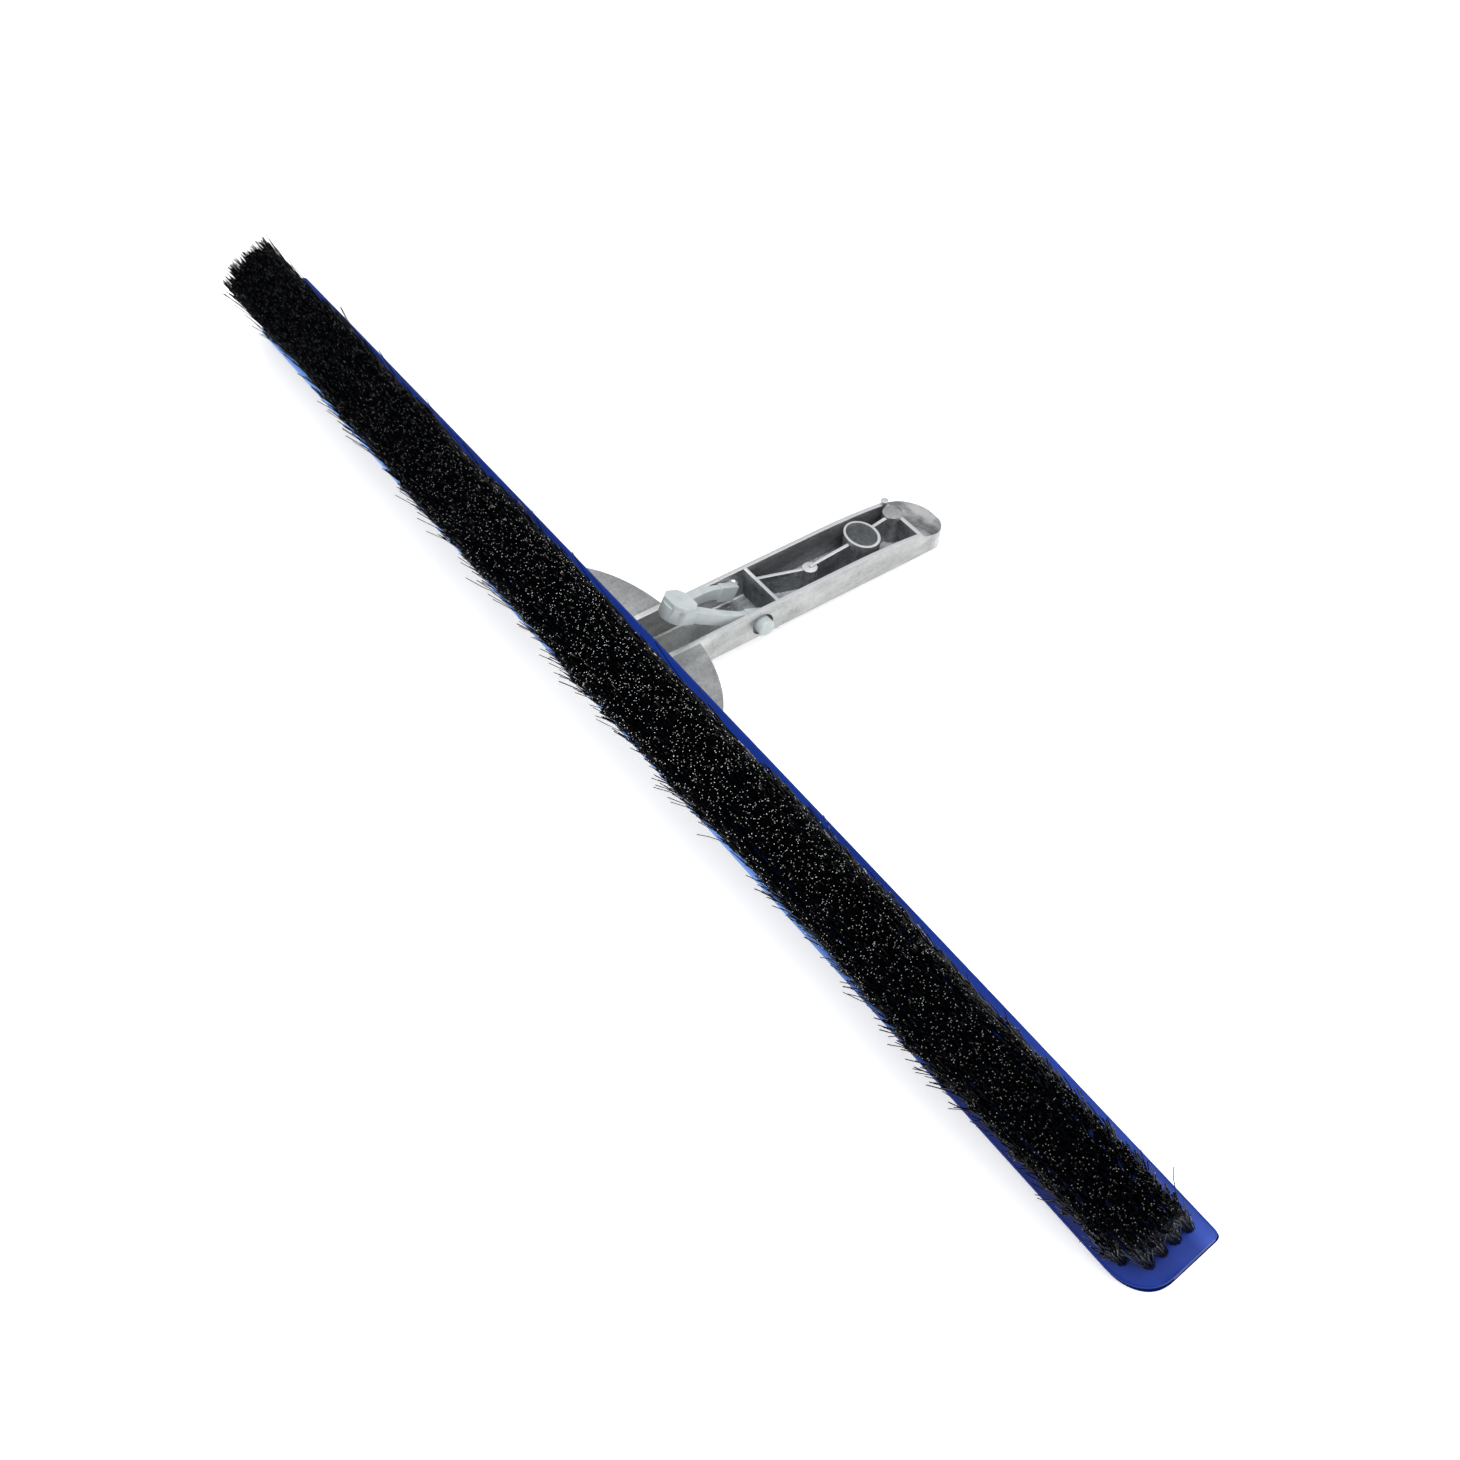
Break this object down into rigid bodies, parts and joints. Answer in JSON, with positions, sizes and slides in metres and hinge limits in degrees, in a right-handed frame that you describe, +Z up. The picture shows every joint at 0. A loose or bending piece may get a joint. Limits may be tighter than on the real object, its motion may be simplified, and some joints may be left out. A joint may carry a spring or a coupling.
{
  "type": "pool wall brush",
  "caption": "Long bowed pool wall brush: blue block with rows of black bristles, cast aluminium handle for a telescopic pole and a white spring clip with side buttons.",
  "frame": {"origin": "centre of the footprint, on the ground, with the brush lying on its back", "axes": "+X along the brush, +Y towards the handle's tip, +Z up out of the bristle side"},
  "size_m": [0.61, 0.19, 0.07],
  "materials": {
    "block_blue": "glossy moulded blue plastic",
    "bristle_black": "black nylon filaments with pale cut tips",
    "cast_aluminium": "as-cast, lightly tumbled, rough inside the channel",
    "clip_white": "milky white acetal, slightly translucent",
    "screw_steel": "plain stainless screws"
  },
  "bodies": {
    "brush": {"bristle_row_1": "bristle_black", "bristle_row_2": "bristle_black", "bristle_row_3": "bristle_black", "bristle_row_4": "bristle_black", "bristle_row_5": "bristle_black", "brush_block": "block_blue", "end_tuft_far_1": "bristle_black", "end_tuft_far_2": "bristle_black", "end_tuft_far_3": "bristle_black", "end_tuft_far_4": "bristle_black", "end_tuft_far_5": "bristle_black", "end_tuft_near_1": "bristle_black", "end_tuft_near_2": "bristle_black", "end_tuft_near_3": "bristle_black", "end_tuft_near_4": "bristle_black", "end_tuft_near_5": "bristle_black", "handle_casting": "cast_aluminium", "handle_screw_1": "screw_steel", "handle_screw_2": "screw_steel", "handle_screw_3": "screw_steel", "handle_screw_4": "screw_steel"},
    "clip": {"clip_nose": "clip_white"},
    "left_arm": {"clip_left_arm": "clip_white"},
    "right_arm": {"clip_right_arm": "clip_white"}
  },
  "joints": [
    {"name": "clip_swing", "type": "hinge", "parent": "brush", "child": "clip", "pos_m": [0, -0.00512, 0.01635], "axis": [1, 0, 0], "range_deg": [-14, 22]},
    {"name": "left_arm_squeeze", "type": "hinge", "parent": "clip", "child": "left_arm", "pos_m": [-0.0023, -0.03305, 0.03177], "axis": [0, -0.4833, -0.8755], "range_deg": [0, 8], "stiffness_Nm_per_rad": 0.5},
    {"name": "right_arm_squeeze", "type": "hinge", "parent": "clip", "child": "right_arm", "pos_m": [0.0023, -0.03305, 0.03177], "axis": [0, 0.4833, 0.8755], "range_deg": [0, 8], "stiffness_Nm_per_rad": 0.5}
  ]
}
